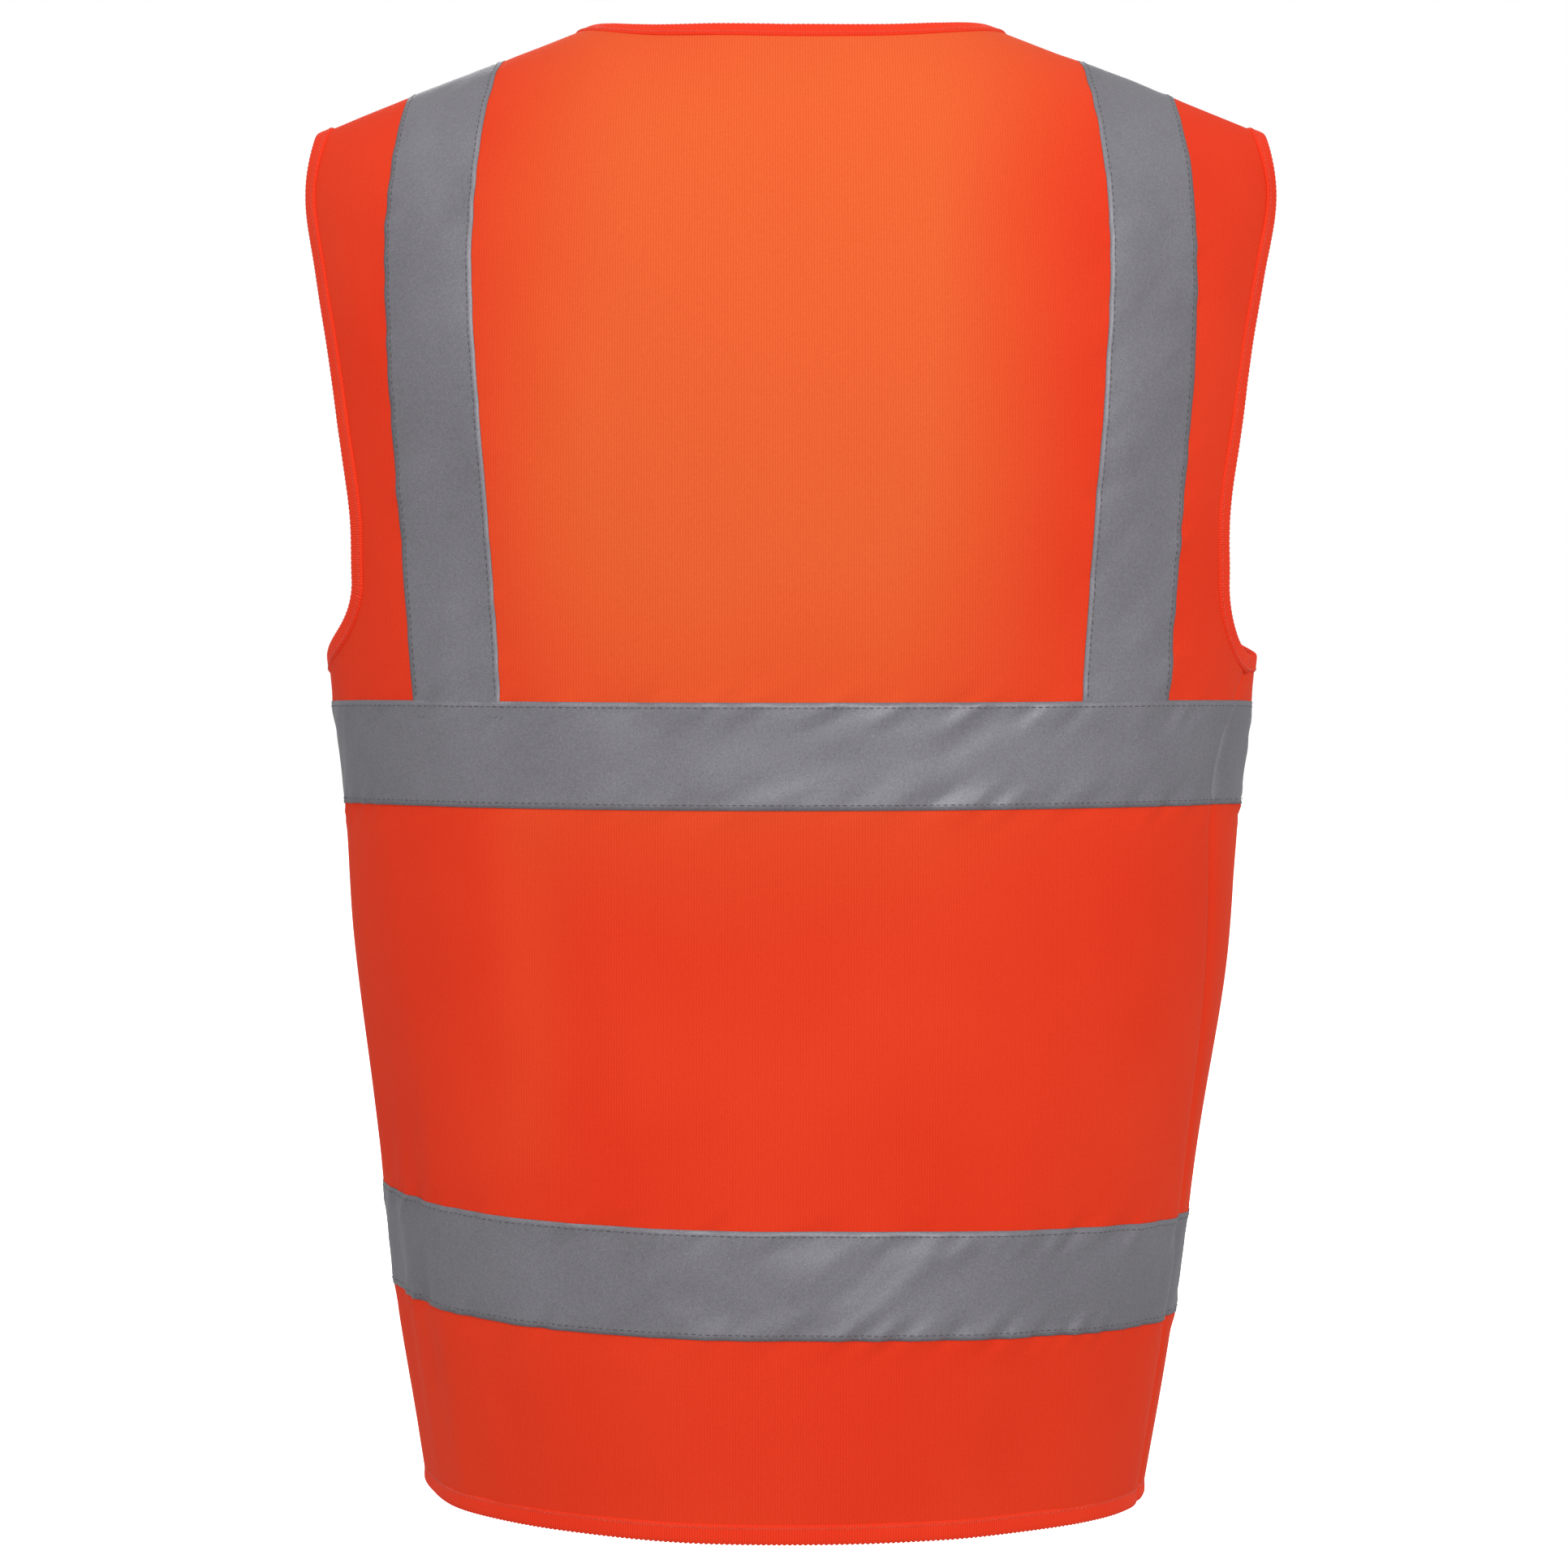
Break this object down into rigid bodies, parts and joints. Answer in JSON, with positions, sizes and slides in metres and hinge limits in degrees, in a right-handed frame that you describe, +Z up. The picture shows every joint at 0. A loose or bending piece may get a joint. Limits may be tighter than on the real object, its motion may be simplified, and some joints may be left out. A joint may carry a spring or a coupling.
{
  "type": "high visibility vest",
  "caption": "Sleeveless safety waistcoat of bright knitted cloth with reflective bands round the body, reflective braces over the shoulders, bound edges and a front that closes by overlapping.",
  "frame": {"origin": "midway between the two neck points of the shoulder seams, where the vest hangs on the wearer's shoulders", "axes": "+Z up, -Y the way the wearer faces, +X the wearer's left"},
  "size_m": [0.4838, 0.2988, 0.7265],
  "materials": {
    "cloth": "fluorescent orange-red warp-knit polyester, matt",
    "reflective_tape": "silver-grey retroreflective tape with fine glass beads",
    "binding": "ribbed knitted binding tape, matt",
    "label": "plain satin woven label, blank",
    "hook_tape": "hook tape, stiff short hooks",
    "loop_tape": "loop tape, brushed pile"
  },
  "bodies": {
    "root": {"back_panel": "cloth", "back_band_upper": "reflective_tape", "back_band_lower": "reflective_tape", "neck_binding": "binding", "hem_binding": "binding", "neck_label": "label", "front_side_left": "cloth", "front_side_band_upper_left": "reflective_tape", "front_side_band_lower_left": "reflective_tape", "back_brace_left": "reflective_tape", "front_brace_left": "reflective_tape", "armhole_binding_left": "binding", "front_side_right": "cloth", "front_side_band_upper_right": "reflective_tape", "front_side_band_lower_right": "reflective_tape", "back_brace_right": "reflective_tape", "front_brace_right": "reflective_tape", "armhole_binding_right": "binding"},
    "left_flap": {"front_flap_left": "cloth", "front_flap_band_upper_left": "reflective_tape", "front_flap_band_lower_left": "reflective_tape", "front_edge_binding_left": "binding", "hook_patch_top": "hook_tape", "hook_patch_middle": "hook_tape", "hook_patch_bottom": "hook_tape"},
    "right_flap": {"front_flap_right": "cloth", "front_flap_band_upper_right": "reflective_tape", "front_flap_band_lower_right": "reflective_tape", "front_edge_binding_right": "binding", "loop_patch_top": "loop_tape", "loop_patch_middle": "loop_tape", "loop_patch_bottom": "loop_tape"}
  },
  "joints": [
    {"name": "left_front_swing", "type": "hinge", "parent": "root", "child": "left_flap", "pos_m": [0.082, -0.1265, -0.3985], "axis": [-0.0494, 0, 0.9988], "range_deg": [0, 75]},
    {"name": "right_front_swing", "type": "hinge", "parent": "root", "child": "right_flap", "pos_m": [-0.082, -0.1265, -0.3985], "axis": [-0.0494, 0, -0.9988], "range_deg": [0, 37.5]}
  ],
  "couplings": [
    {"joint": "right_front_swing", "follows": "left_front_swing", "ratio": 0.5}
  ]
}
